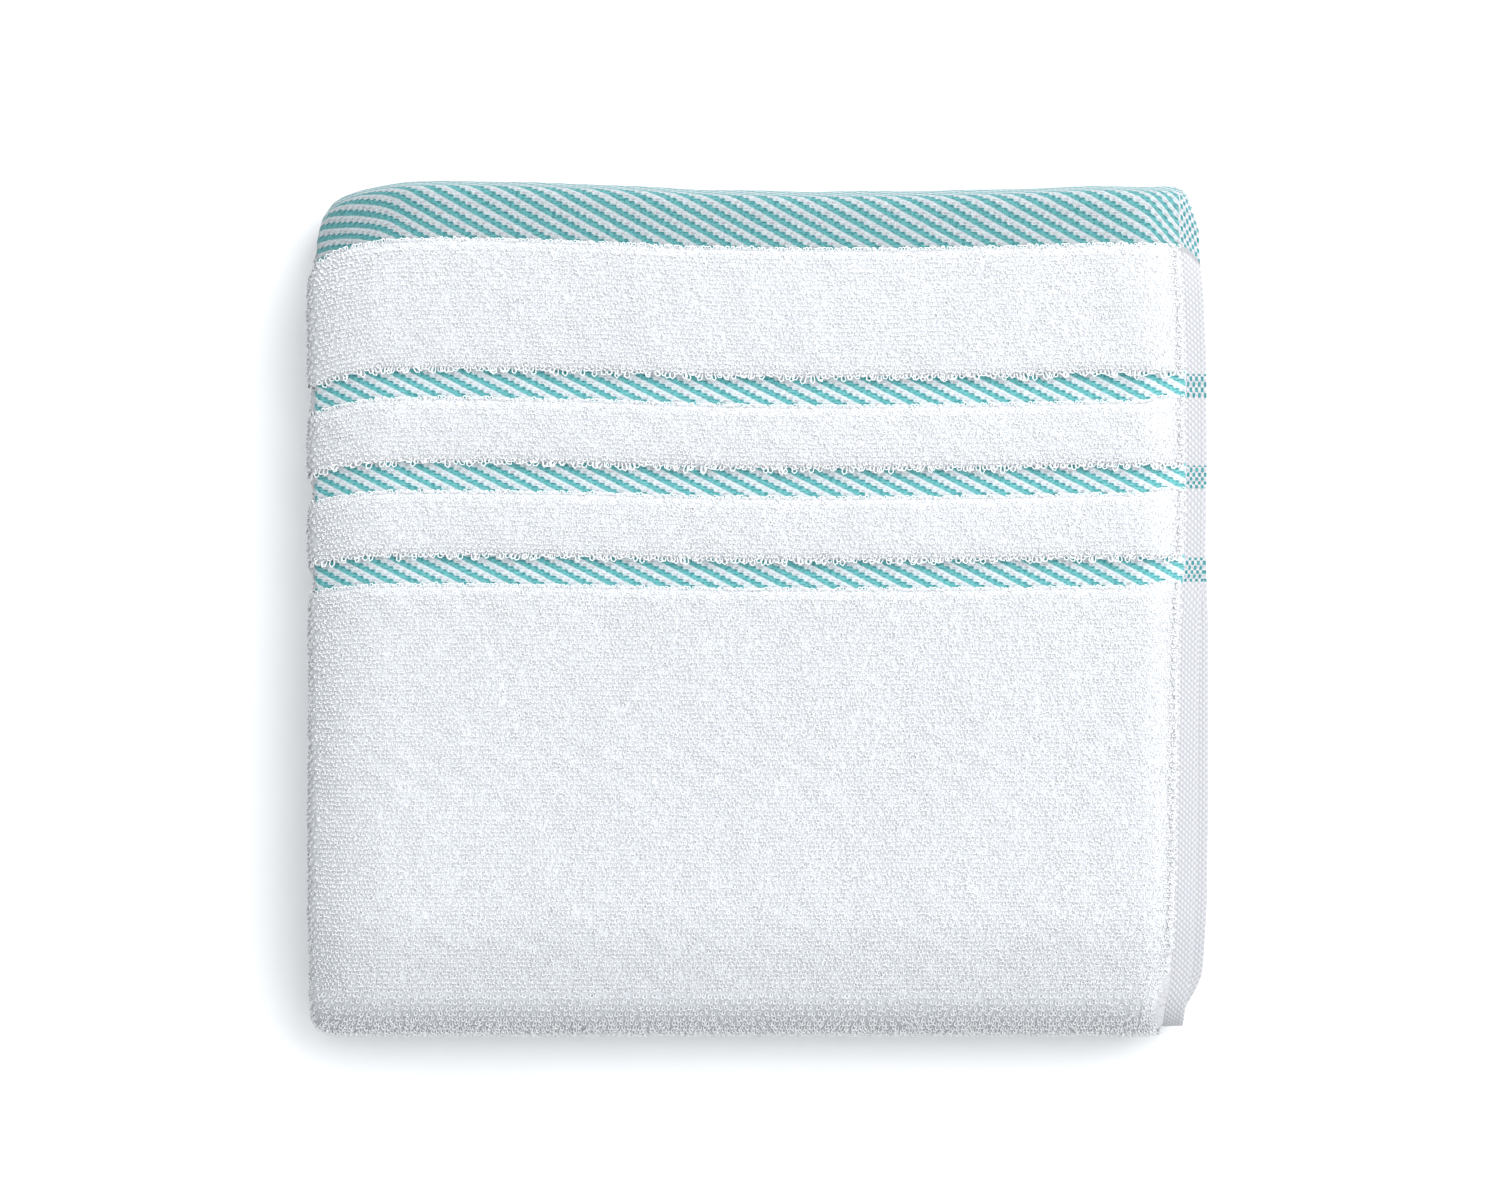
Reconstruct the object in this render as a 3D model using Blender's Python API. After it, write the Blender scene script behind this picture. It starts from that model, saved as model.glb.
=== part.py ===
"""Bath towel, folded for the shelf: terry cloth with flat dobby bands near each end.

The cloth is folded in half along its length, so that both selvedges lie on the right, and then in
half and in half again across its length. What is folded twice is therefore a two-leaf ribbon, and
every piece here is a stretch of that ribbon: a hairpin section, open at the selvedges, that runs
along the ribbon's route through the folds.

The row frame is +X across the packet towards the selvedges, +Y towards the banded edge and +Z up,
with the origin at the middle of the face that lies on the shelf.
"""

from math import cos, pi, radians, sin

import bmesh
import bpy
from mathutils import Matrix, Vector

# The cloth, laid flat.
CLOTH_WIDTH = 0.686
CLOTH_LENGTH = 1.285
TERRY_THICKNESS = 0.0046
FLAT_WEAVE_THICKNESS = 0.0012
HEM_THICKNESS = 0.0020
SELVEDGE_WIDTH = 0.0125

# Each end's border, from the cut end inwards.
HEM_DEPTH = 0.0127
WIDE_BAND = 0.0339
WIDE_TERRY = 0.0496
NARROW_BAND = 0.0113
NARROW_TERRY = 0.0240

# The hem's lockstitch.
THREAD_WIDTH = 0.0008
THREAD_HEIGHT = 0.0003
STITCH_FROM_HEM_EDGE = 0.0020

# The fold.
FACE_GAP = 0.0003
SHELF_GAP = 0.0003
DRAPE_RADIUS = 0.016
DRAPE_LEAN = radians(18)

# Facets of the round stretches.
TURN_STEP = radians(18)
HAIRPIN_SIDES = 12
HAIRPIN_INNER_SIDES = 4


def half_thickness(leaf):
    """From the ribbon's middle to its outside, where each of its two leaves is this thick."""
    return FACE_GAP / 2 + leaf


# Four layers of ribbon, counted from the shelf.
LAYER_PITCH = 2 * half_thickness(TERRY_THICKNESS) + FACE_GAP
LAYER_Z = [half_thickness(TERRY_THICKNESS) + layer * LAYER_PITCH for layer in range(4)]
TIGHT_RADIUS = LAYER_PITCH / 2
OUTER_RADIUS = 3 * LAYER_PITCH / 2

# Across the packet: the hairpin's bend is on the left and the selvedges' edges are on the right.
LEAF_LENGTH = (CLOTH_WIDTH - pi * (FACE_GAP + TERRY_THICKNESS) / 2) / 2
HALF_WIDTH = (LEAF_LENGTH + half_thickness(TERRY_THICKNESS)) / 2
BEND_X = half_thickness(TERRY_THICKNESS) - HALF_WIDTH
SELVEDGE_X = HALF_WIDTH - SELVEDGE_WIDTH


def back_clearance():
    """How far the back fold's axis stays in front of the drape's outermost line."""
    hem = half_thickness(HEM_THICKNESS)
    inner_y = DRAPE_RADIUS * (cos(DRAPE_LEAN) - 1) - hem * cos(DRAPE_LEAN)
    inner_z = LAYER_Z[3] - DRAPE_RADIUS * (1 + sin(DRAPE_LEAN)) + hem * sin(DRAPE_LEAN)
    fold_z = (LAYER_Z[0] + LAYER_Z[1]) / 2
    fold_reach = TIGHT_RADIUS + half_thickness(TERRY_THICKNESS) + FACE_GAP
    return (fold_reach + (inner_z - fold_z) * sin(DRAPE_LEAN)) / cos(DRAPE_LEAN) - inner_y


def fold_lines():
    """The y of the drape's outermost line, the front folds' axis and the back fold's axis.

    The route's length is eight times the first of these and some fixed lengths, so the cloth's
    length sets them all.
    """
    front = (
        half_thickness(FLAT_WEAVE_THICKNESS) - OUTER_RADIUS - half_thickness(TERRY_THICKNESS)
    )
    back = -back_clearance()
    turns = DRAPE_RADIUS * (pi / 2 + DRAPE_LEAN) + pi * (OUTER_RADIUS + 2 * TIGHT_RADIUS)
    fixed = HANG + turns - DRAPE_RADIUS + 4 * front + 3 * back
    drape = (CLOTH_LENGTH - fixed) / 8
    return drape, -(drape + front), drape + back


HANG = (
    LAYER_Z[3]
    - DRAPE_RADIUS * (1 + sin(DRAPE_LEAN))
    - SHELF_GAP
    - half_thickness(HEM_THICKNESS) * sin(DRAPE_LEAN)
) / cos(DRAPE_LEAN)
DRAPE_Y, FRONT_Y, BACK_Y = fold_lines()

# The ribbon's route, as (length, radius, side): side is 1 for a turn to the left of the way it
# runs, seen from the selvedges, -1 for a turn to the right and 0 for a straight.
ROUTE = [
    (HANG, 0, 0),
    (DRAPE_RADIUS * (pi / 2 + DRAPE_LEAN), DRAPE_RADIUS, 1),
    (DRAPE_Y - DRAPE_RADIUS - FRONT_Y, 0, 0),
    (pi * OUTER_RADIUS, OUTER_RADIUS, 1),
    (BACK_Y - FRONT_Y, 0, 0),
    (pi * TIGHT_RADIUS, TIGHT_RADIUS, 1),
    (BACK_Y - FRONT_Y, 0, 0),
    (pi * TIGHT_RADIUS, TIGHT_RADIUS, -1),
    (BACK_Y - FRONT_Y, 0, 0),
]
ROUTE_START = Vector(
    (
        0,
        DRAPE_Y - DRAPE_RADIUS * (1 - cos(DRAPE_LEAN)) - HANG * sin(DRAPE_LEAN),
        LAYER_Z[3] - DRAPE_RADIUS * (1 + sin(DRAPE_LEAN)) - HANG * cos(DRAPE_LEAN),
    )
)
ROUTE_HEADING = pi / 2 - DRAPE_LEAN


def frame_at(point, heading):
    """The matrix from a section's own plane, x across and y outwards, to its place."""
    forward = Vector((0, cos(heading), sin(heading)))
    outward = Vector((0, sin(heading), -cos(heading)))
    turned = Matrix((Vector((1, 0, 0)), outward, forward)).transposed()
    return Matrix.Translation(point) @ turned.to_4x4()


def frames_between(start, end):
    """The frames along the route from one distance to another, one at each facet's edge."""
    point, heading, passed = ROUTE_START.copy(), ROUTE_HEADING, 0.0
    frames = []
    for length, radius, side in ROUTE:
        steps = max(1, round(length / radius / TURN_STEP)) if side else 1
        low, high = max(0, start - passed), min(length, end - passed)
        marks = {length * step / steps for step in range(steps + 1)}
        marks = {mark for mark in marks if low < mark < high} | {low, high}
        for along in sorted(marks) if low <= high else []:
            turned = side * along / radius if side else 0
            forward = Vector((0, cos(heading + turned / 2), sin(heading + turned / 2)))
            chord = 2 * radius * sin(along / radius / 2) if side else along
            frame = frame_at(point + chord * forward, heading + turned)
            if not frames or (frame.translation - frames[-1].translation).length > 1e-5:
                frames.append(frame)
        turned = side * length / radius if side else 0
        chord = 2 * radius * sin(length / radius / 2) if side else length
        point += chord * Vector((0, cos(heading + turned / 2), sin(heading + turned / 2)))
        heading += turned
        passed += length
    return frames


def hairpin(inside, outside, end_x):
    """A hairpin section: two leaves between these distances from the middle, and their bend."""

    def bend(reach, sides, first, last):
        angles = [first + (last - first) * i / sides for i in range(sides + 1)]
        return [(BEND_X - reach * sin(a), reach * cos(a)) for a in angles]

    outer = bend(outside, HAIRPIN_SIDES, 0, pi)
    inner = bend(inside, HAIRPIN_INNER_SIDES, pi, 0)
    return [(end_x, outside), *outer, (end_x, -outside), (end_x, -inside), *inner, (end_x, inside)]


def strip(inside, outside, start_x, end_x):
    """The section of a strip that lies in one leaf."""
    return [(start_x, inside), (end_x, inside), (end_x, outside), (start_x, outside)]


def swept(name, section, start, end, material):
    """One piece of the ribbon: a section swept along the route between two distances."""
    frames = frames_between(start, end)
    corners = [frame @ Vector((x, outward, 0)) for frame in frames for x, outward in section]
    around, last = len(section), len(corners) - len(section)
    faces = [tuple(range(around)), tuple(range(last + around - 1, last - 1, -1))]
    for ring in range(0, last, around):
        for i in range(around):
            j = (i + 1) % around
            faces.append((ring + i, ring + around + i, ring + around + j, ring + j))
    data = bpy.data.meshes.new(name)
    data.from_pydata(corners, [], faces)
    mesh = bmesh.new()
    mesh.from_mesh(data)
    bmesh.ops.recalc_face_normals(mesh, faces=mesh.faces)
    mesh.to_mesh(data)
    mesh.free()
    data.shade_smooth()
    data.set_sharp_from_angle(angle=radians(40))
    data.materials.append(material)
    piece = bpy.data.objects.new(name, data)
    bpy.context.collection.objects.link(piece)
    return piece


def fabric(name, colour, roughness):
    """A plain woven finish."""
    material = bpy.data.materials.new(name)
    material.use_nodes = True
    shader = material.node_tree.nodes["Principled BSDF"]
    shader.inputs["Base Color"].default_value = (*colour, 1)
    shader.inputs["Roughness"].default_value = roughness
    shader.inputs["Metallic"].default_value = 0
    return material


def cloth_piece(name, leaf, start, end, material):
    """A stretch of both leaves, from their bend on the left to the selvedges' inner edge."""
    section = hairpin(FACE_GAP / 2, half_thickness(leaf), SELVEDGE_X - FACE_GAP)
    return swept(name, section, start + FACE_GAP / 2, end - FACE_GAP / 2, material)


def border(end_name, materials, from_end):
    """One end's hem, its stitching, the four bands and the terry between them.

    from_end turns a distance from the cloth's cut end into one along the route, so the same
    border serves both ends. Returns how deep the border is.
    """

    def laid(name, leaf, first, last, material):
        start, end = sorted((from_end(first), from_end(last)))
        return cloth_piece(f"{end_name}_{name}", leaf, start, end, material)

    depth = HEM_DEPTH
    laid("hem", HEM_THICKNESS, 0, depth, materials["hem"])
    stitched(end_name, materials["thread"], from_end)
    laid("wide_band", FLAT_WEAVE_THICKNESS, depth, depth + WIDE_BAND, materials["band"])
    depth += WIDE_BAND
    laid("wide_terry_stripe", TERRY_THICKNESS, depth, depth + WIDE_TERRY, materials["terry"])
    depth += WIDE_TERRY
    for number in (1, 2, 3):
        band = f"narrow_band_{number}"
        laid(band, FLAT_WEAVE_THICKNESS, depth, depth + NARROW_BAND, materials["band"])
        depth += NARROW_BAND
        if number < 3:
            stripe = f"narrow_terry_stripe_{number}"
            laid(stripe, TERRY_THICKNESS, depth, depth + NARROW_TERRY, materials["terry"])
            depth += NARROW_TERRY
    return depth


def stitched(end_name, material, from_end):
    """The row of lockstitches that holds a hem, a raised line across both leaves."""
    near = HEM_DEPTH - STITCH_FROM_HEM_EDGE
    start, end = sorted((from_end(near), from_end(near - THREAD_WIDTH)))
    face = half_thickness(HEM_THICKNESS) + FACE_GAP
    section = hairpin(face, face + THREAD_HEIGHT, SELVEDGE_X - FACE_GAP)
    return swept(f"{end_name}_hem_stitching", section, start, end, material)


def field(start, end, material):
    """The plain terry between the two borders, in a piece for each layer and each fold."""
    names = [
        None,
        None,
        "field_top",
        "field_front_outer_fold",
        "field_bottom",
        "field_back_fold",
        "field_lower_middle",
        "field_front_inner_fold",
        "field_upper_middle",
    ]
    passed = 0.0
    for name, (length, _, _) in zip(names, ROUTE):
        first, last = max(start, passed), min(end, passed + length)
        passed += length
        if name and last - first > FACE_GAP:
            cloth_piece(name, TERRY_THICKNESS, first, last, material)


def selvedges(material):
    """The two woven edges, which run the cloth's whole length one above the other."""
    near, far = FACE_GAP / 2, half_thickness(FLAT_WEAVE_THICKNESS)
    for name, inside, outside in (
        ("outer_leaf_selvedge", near, far),
        ("inner_leaf_selvedge", -far, -near),
    ):
        section = strip(inside, outside, SELVEDGE_X, HALF_WIDTH)
        swept(name, section, 0, CLOTH_LENGTH, material)


def clear_scene():
    """Removes whatever the file opened with."""
    for thing in list(bpy.data.objects):
        bpy.data.objects.remove(thing)


def build():
    """Makes every piece of the folded towel."""
    clear_scene()
    materials = {
        "terry": fabric("white_terry", (0.90, 0.91, 0.93), 0.95),
        "band": fabric("aqua_dobby", (0.30, 0.62, 0.62), 0.80),
        "hem": fabric("white_hem", (0.88, 0.89, 0.91), 0.85),
        "selvedge": fabric("white_selvedge", (0.86, 0.87, 0.90), 0.85),
        "thread": fabric("white_thread", (0.92, 0.92, 0.92), 0.60),
    }
    depth = border("display", materials, lambda distance: distance)
    border("tucked", materials, lambda distance: CLOTH_LENGTH - distance)
    field(depth, CLOTH_LENGTH - depth, materials["terry"])
    selvedges(materials["selvedge"])


build()
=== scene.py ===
"""Terry bath towel, folded for the shelf, with dobby bands across one end.

Every piece lies on one folded cloth. A place on that cloth has three numbers: s, along it from the
end on show; w, across it from the lengthwise fold, positive in the outer leaf and negative in the
inner one; and h, its height off the middle between the two leaves.
"""

import bpy
import numpy as np
from bpy.props import FloatProperty, FloatVectorProperty, IntProperty, PointerProperty
from bpy.types import Operator, Panel, PropertyGroup
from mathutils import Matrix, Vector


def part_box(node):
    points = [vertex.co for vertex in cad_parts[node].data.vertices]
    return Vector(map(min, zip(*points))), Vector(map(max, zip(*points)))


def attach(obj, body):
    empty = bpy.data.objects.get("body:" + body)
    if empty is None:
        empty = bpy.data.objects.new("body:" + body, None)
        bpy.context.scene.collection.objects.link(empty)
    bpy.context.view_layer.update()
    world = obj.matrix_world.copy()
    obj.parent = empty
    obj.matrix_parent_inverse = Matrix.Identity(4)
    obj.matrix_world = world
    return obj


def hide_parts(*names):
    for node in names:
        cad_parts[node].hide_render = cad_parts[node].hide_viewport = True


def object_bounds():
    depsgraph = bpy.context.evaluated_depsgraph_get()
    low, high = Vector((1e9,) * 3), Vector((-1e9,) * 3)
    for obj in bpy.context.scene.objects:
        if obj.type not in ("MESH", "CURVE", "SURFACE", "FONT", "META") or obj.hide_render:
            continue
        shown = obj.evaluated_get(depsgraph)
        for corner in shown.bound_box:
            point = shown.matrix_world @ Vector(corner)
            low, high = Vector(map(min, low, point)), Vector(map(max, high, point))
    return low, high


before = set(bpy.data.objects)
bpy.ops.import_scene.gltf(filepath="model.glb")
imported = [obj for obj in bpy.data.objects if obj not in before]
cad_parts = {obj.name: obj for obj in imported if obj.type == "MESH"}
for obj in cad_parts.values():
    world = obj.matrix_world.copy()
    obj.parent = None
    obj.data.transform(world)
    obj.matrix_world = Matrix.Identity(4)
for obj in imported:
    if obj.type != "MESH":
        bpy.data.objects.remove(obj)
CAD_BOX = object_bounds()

bl_info = {
    "name": "Folded Bath Towel",
    "version": (1, 0, 0),
    "blender": (4, 5, 0),
    "location": "View3D > Sidebar > Towel",
    "description": "A folded terry bath towel with dobby bands, piece by piece",
    "category": "Add Mesh",
}

# The gap between two faces of cloth that lie on each other, in metres.
FACE_GAP = 0.0003


def node_size(node, axis):
    """How far a CAD node reaches along an axis, in metres."""
    low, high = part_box(node)
    return float(high[axis] - low[axis])


def node_leaf(node):
    """The thickness of one leaf of a flat-lying CAD node."""
    return node_size(node, 2) / 2 - FACE_GAP / 2


def length(name, default, description, **limits):
    """A size in metres."""
    return FloatProperty(
        name=name, description=description, default=default, unit="LENGTH", precision=5, **limits
    )


def colour(name, default, description):
    """A linear colour."""
    return FloatVectorProperty(
        name=name, description=description, default=default, size=3, min=0, max=1, subtype="COLOR"
    )


class TowelCloth(PropertyGroup):
    """The cloth and how it is folded."""

    cloth_length: length("Cloth length", 1.285, "From one cut end to the other, laid flat")
    terry_leaf: length("Terry leaf", node_leaf("field_top"), "One leaf of terry, loops included")
    flat_leaf: length("Flat leaf", node_leaf("tucked_wide_band"), "One leaf of flat weave")
    hem_leaf: length("Hem leaf", node_leaf("tucked_hem"), "One leaf of the turned-under hem")
    selvedge: length("Selvedge", node_size("outer_leaf_selvedge", 0), "Width of the woven edge")
    hem_depth: length("Hem depth", node_size("tucked_hem", 1) + FACE_GAP, "Depth of each hem")
    wide_band: length(
        "Wide band", node_size("tucked_wide_band", 1) + FACE_GAP, "Width of the wide dobby band"
    )
    wide_terry: length(
        "Wide terry stripe",
        node_size("tucked_wide_terry_stripe", 1) + FACE_GAP,
        "Width of the terry between the wide band and the first narrow one",
    )
    narrow_band: length(
        "Narrow band", node_size("tucked_narrow_band_1", 1) + FACE_GAP, "Width of a narrow band"
    )
    narrow_terry: length(
        "Narrow terry stripe",
        node_size("tucked_narrow_terry_stripe_1", 1) + FACE_GAP,
        "Width of the terry between two narrow bands",
    )
    drape_radius: length("Drape radius", 0.016, "How roundly the end on show turns over the back")
    drape_lean: FloatProperty(
        name="Drape lean",
        description="How far the hanging end leans in under the packet",
        default=np.radians(18),
        subtype="ANGLE",
    )


class TowelPile(PropertyGroup):
    """The terry's uncut loops."""

    ground: length("Ground height", 0.0037, "Where the loops leave the ground weave")
    spacing: length("Loop spacing", 0.00165, "From one loop to the next", min=0.001)
    side_spacing: length("Side loop spacing", 0.0024, "The same, along the packet's sides")
    under_spacing: length("Hidden loop spacing", 0.0048, "The same, on the face on the shelf")
    reach: length("Loop reach", 0.0010, "How far a loop lies over along the cloth")
    loop_width: length("Loop width", 0.0013, "Across an open loop")
    rise: length("Loop rise", 0.0010, "From the ground weave to the top of a loop")
    yarn: length("Pile yarn", 0.00052, "Thickness of the pile yarn")
    seed: IntProperty(name="Seed", description="Chooses the loops' own disorder", default=7)


class TowelColours(PropertyGroup):
    """The yarns' colours."""

    white: colour("White yarn", (0.975, 0.983, 0.993), "Pile and ground")
    # Painted shade: white yarn darkened for the shade among the loops and in the thread's grooves.
    shade: colour("White yarn, shaded", (0.84, 0.865, 0.90), "Pile between its highest loops")
    aqua: colour("Aqua yarn", (0.060, 0.285, 0.295), "The bands' stripes")
    # Deep aqua: painted shade at the stripes' step corners, where the yarn turns under; elsewhere
    # random darker yarn.
    deep: colour("Deep aqua yarn", (0.03, 0.17, 0.19), "Where the aqua yarn turns under")
    pale: colour("Pale aqua yarn", (0.145, 0.43, 0.44), "Where the aqua yarn floats highest")
    edge: colour("Flat white yarn", (0.503, 0.506, 0.530), "Selvedges and hems")
    band_white: colour("Band white", (0.54, 0.605, 0.63), "White yarn between the stripes")
    # Painted shade: grey flecks in the bands' white, where the yarn turns under.
    fleck_shade: colour("Fleck", (0.34, 0.32, 0.35), "Where the white yarn turns under")


class TowelStage(PropertyGroup):
    """The camera, the lights and the floor."""

    view_width: length("View width", 0.5695, "How wide the view is at the packet's top")
    lens: FloatProperty(
        name="Lens", description="Focal length in millimetres", default=90.0, unit="CAMERA"
    )
    key: FloatProperty(name="Key light", description="Its power", default=21.0, unit="POWER")
    sky: FloatProperty(name="Sky", description="How strong the room's light is", default=0.76)
    slope: FloatProperty(
        name="Slope", description="How much brighter the room is at the back right", default=0.95
    )
    floor_white: colour("Floor", (0.93, 0.93, 0.93), "The pale floor")


# The packet's sides, ends and top.
LEFT, RIGHT = CAD_BOX[0][0], CAD_BOX[1][0]
FRONT, BACK = CAD_BOX[0][1], CAD_BOX[1][1]
TOP = CAD_BOX[1][2]

# The share of the selvedge's width that stands clear of the terry.
BARE_SHARE = 0.7

# How far each leaf's woven edge lies outside its straight line, along the cloth, in metres.
EDGE_S = np.array(
    [0.0, 43, 70, 89, 127, 169, 192, 261, 299, 328, 334, 341, 352, 380, 440, 1300]
) / 1000
OUTER_EDGE = np.array(
    [-1.6, -1.4, 0.2, 1.0, 1.2, 0.6, -1.6, -2.7, -3.5, -4.6, -5.4, -6.8, -7.0, -6.5, -5.0, -5.0]
) / 1000
INNER_EDGE = np.array(
    [-4.0, -4.0, -2.5, -1.5, -0.4, 0.9, 1.7, 1.7, 1.3, -0.2, -2.6, -6.5, -9.0, -9.0, -6.0, -6.0]
) / 1000

# The packet's soft outline, as distances it draws in from its straight sides, in metres: how far
# its corners are rounded, and how its back edge waves.
CORNER_X = np.array(
    [-168.5, -167.5, -166.1, -163.1, -157.8, -150.2, -142.0, -135.0, -118]
    + [150, 160, 163, 166, 168.7, 170.5]
) / 1000
CORNER_IN = np.array(
    [14.0, 11.0, 8.8, 6.0, 3.7, 2.0, 0.8, 0.0, -0.2] + [0, -0.4, -0.2, 1.0, 6.5, 11.0]
) / 1000
BACK_X = np.array([-172, -118, -100, -60, -21, 17, 56, 94, 132, 172]) / 1000
BACK_OUT = np.array([1.6, 2.3, 2.1, 1.0, -1.0, -1.7, -1.5, -0.8, 0.5, 0.4]) / 1000

# How far each row of the cloth has crept forwards, by its place: the wide band's front edge, the
# three narrow bands, then the field.
CREEP_Y = np.array([-60.0, 16.3, 51.6, 86.6, 142.9, 161.0]) / 1000
CREEP = np.array([0.0, 1.6, 1.7, 1.9, 3.0, 0.0]) / 1000

# The narrow bands' places, how far each droops beside the fold, and how far its front edge lifts
# by the selvedge, each over this much of the cloth.
BAND_Y = np.array([84.5, 50.0, 14.7]) / 1000
BAND_DROOP = np.array([3.4, 1.6, 1.8]) / 1000
BAND_LIFT = np.array([2.3, 2.4, 2.0]) / 1000
DROOP_OVER, LIFT_OVER = 0.009, 0.006

# The turn over the back edge: its radius, and how square it is.
TURN = 0.016
SQUARENESS = 7

# How far in from each side the packet slumps, and how far its left side drags forwards.
LEFT_SLUMP, LEFT_DRAG = 0.034, 0.0052
BACK_SLUMP = (0.040, 0.004)
SELVEDGE_SLUMP = (0.026, 0.015)
FRONT_SLUMP = (0.022, 0.002)
FRONT_CORNER, FRONT_CORNER_IN = 0.009, 0.0030

# How much thinner the packet is beside the fold, by the selvedge, over the front fold and at each
# back corner, as shares of its height.
THIN_LEFT, THIN_RIGHT, THIN_FRONT = 0.25, 0.30, 0.19
THIN_BACK_LEFT, THIN_BACK_RIGHT = 0.22, 0.10

# Nothing lies lower than this.
SHELF = 0.0001


class Fold:
    """The route of the folded cloth, worked out from its sizes once.

    From the end on show, the cloth hangs behind the packet, turns over the back edge, runs forwards
    on top, turns under round the front, and runs back and forth through the layers below.
    """

    def __init__(self, cloth):
        leaves = (cloth.terry_leaf, cloth.flat_leaf, cloth.hem_leaf)
        terry, flat, hem = (FACE_GAP / 2 + leaf for leaf in leaves)
        # From one layer's middle to the next, and the radii of the inner folds and the outer one.
        pitch = 2 * terry + FACE_GAP
        tight, broad = pitch / 2, 1.5 * pitch
        # How far the end on show hangs, where its inner face leaves off, and how far short of the
        # drape's two ends the layers' own folds stop.
        radius, lean = cloth.drape_radius, cloth.drape_lean
        top = terry + 3 * pitch
        hang = (top - radius * (1 + np.sin(lean)) - FACE_GAP - hem * np.sin(lean)) / np.cos(lean)
        inner_y = radius * (np.cos(lean) - 1) - hem * np.cos(lean)
        inner_z = top - radius * (1 + np.sin(lean)) + hem * np.sin(lean)
        reach = tight + terry + FACE_GAP
        back = inner_y - (reach + (inner_z - terry - tight) * np.sin(lean)) / np.cos(lean)
        front = flat - broad - terry
        turn = radius * (np.pi / 2 + lean)
        turns = turn + np.pi * (broad + 2 * tight)
        # Each of the four runs across the packet is two drapes long, apart from a fixed part.
        fixed = hang + turns - radius + 4 * front + 3 * back
        drape = (cloth.cloth_length - fixed) / 8
        front_y, back_y = -(drape + front), drape + back

        self.cloth = cloth
        self.flat = flat
        self.bend_x = terry - RIGHT
        self.rim_x = RIGHT - BARE_SHARE * cloth.selvedge
        self.bend = np.pi * (FACE_GAP + cloth.terry_leaf) / 4
        self.lengths = np.array(
            [hang, turn, drape - radius - front_y, np.pi * broad, back_y - front_y]
            + [np.pi * tight, back_y - front_y, np.pi * tight, back_y - front_y]
        )
        self.curves = np.array([0, 1 / radius, 0, 1 / broad, 0, 1 / tight, 0, -1 / tight, 0])
        self.starts = np.concatenate([[0], np.cumsum(self.lengths)])
        self.knots = self._knots(
            drape - radius * (1 - np.cos(lean)) - hang * np.sin(lean),
            top - radius * (1 + np.sin(lean)) - hang * np.cos(lean),
            np.pi / 2 - lean,
        )

    def _knots(self, y, z, heading):
        """Where each stretch of the route starts, and which way it heads there."""
        knots = [(y, z, heading)]
        for run, curve in zip(self.lengths, self.curves):
            turned = run * curve
            chord = run * np.sinc(turned / 2 / np.pi)
            y += chord * np.cos(heading + turned / 2)
            z += chord * np.sin(heading + turned / 2)
            heading += turned
            knots.append((y, z, heading))
        return np.array(knots)

    def route(self, s):
        """The route's y, z and heading at s: in each stretch a straight line or an arc."""
        part = np.searchsorted(self.starts, s, side="right") - 1
        part = np.clip(part, 0, len(self.curves) - 1)
        along = s - self.starts[part]
        turned = along * self.curves[part]
        y, z, heading = np.moveaxis(self.knots[part], -1, 0)
        chord = along * np.sinc(turned / 2 / np.pi)
        return (
            y + chord * np.cos(heading + turned / 2),
            z + chord * np.sin(heading + turned / 2),
            heading + turned,
        )

    def width(self, x):
        """The distance w of a place x in the flat of a leaf."""
        return x - self.bend_x + self.bend

    def edge(self, s, w):
        """How far the woven edge strays from its straight line, in each leaf."""
        outer = np.interp(s, EDGE_S, OUTER_EDGE)
        inner = np.interp(s, EDGE_S, INNER_EDGE)
        return np.where(w > 0, outer, inner)

    def laid(self, s, w, h):
        """The point of the cloth at s, w, h as first laid: a hairpin across the route.

        The angle a goes from 0 on the outer leaf to pi on the inner one, through the bend. The
        point stands h sin a beyond the bend and h cos a off the route, along the route's normal.
        """
        s, w, h = np.broadcast_arrays(s, w, h)
        angle = np.clip(np.pi / 2 * (1 - w / self.bend), 0, np.pi)
        flat = np.maximum(np.abs(w) - self.bend, 0)
        share = flat / (RIGHT - self.bend_x)
        x = self.bend_x - h * np.sin(angle) + flat + share**3 * self.edge(s, w)
        y, z, heading = self.route(s)
        out = h * np.cos(angle)
        y, z = squared(y + out * np.sin(heading), z - out * np.cos(heading))
        return np.stack([x, y, z], axis=-1)

    def place(self, s, w, h):
        """The point of the cloth at s, w, h after the packet has settled."""
        return settled(self.laid(s, w, h))

    def slip(self, s, w, h):
        """How far a point has slid towards the front as the packet settled."""
        return (self.laid(s, w, h) - self.place(s, w, h))[..., 1]


def smooth(low, high, value):
    """0 at low and 1 at high, level at both: 3t^2 - 2t^3."""
    t = np.clip((value - low) / (high - low), 0, 1)
    return t * t * (3 - 2 * t)


def squared(y, z):
    """Turns the cloth more sharply over the back edge.

    With the turn's centre as origin, t the angle from straight up and n the squareness, a point
    moves out from it by a factor of (sin^n t + cos^n t)^(-1/n), a superellipse's radius.
    """
    centre_y, centre_z = BACK - TURN, TOP - TURN
    out, up = np.maximum(y - centre_y, 0), np.maximum(z - centre_z, 0)
    size = np.hypot(out, up) + 1e-9
    neither = (out == 0) & (up == 0)
    powers = (out / size) ** SQUARENESS + (up / size) ** SQUARENESS + neither
    factor = powers ** (-1 / SQUARENESS)
    inside = (out > 0) & (up > 0)
    y = np.where(inside, centre_y + out * factor, y)
    z = np.where(inside, centre_z + up * factor, z)
    return y, z


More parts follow.
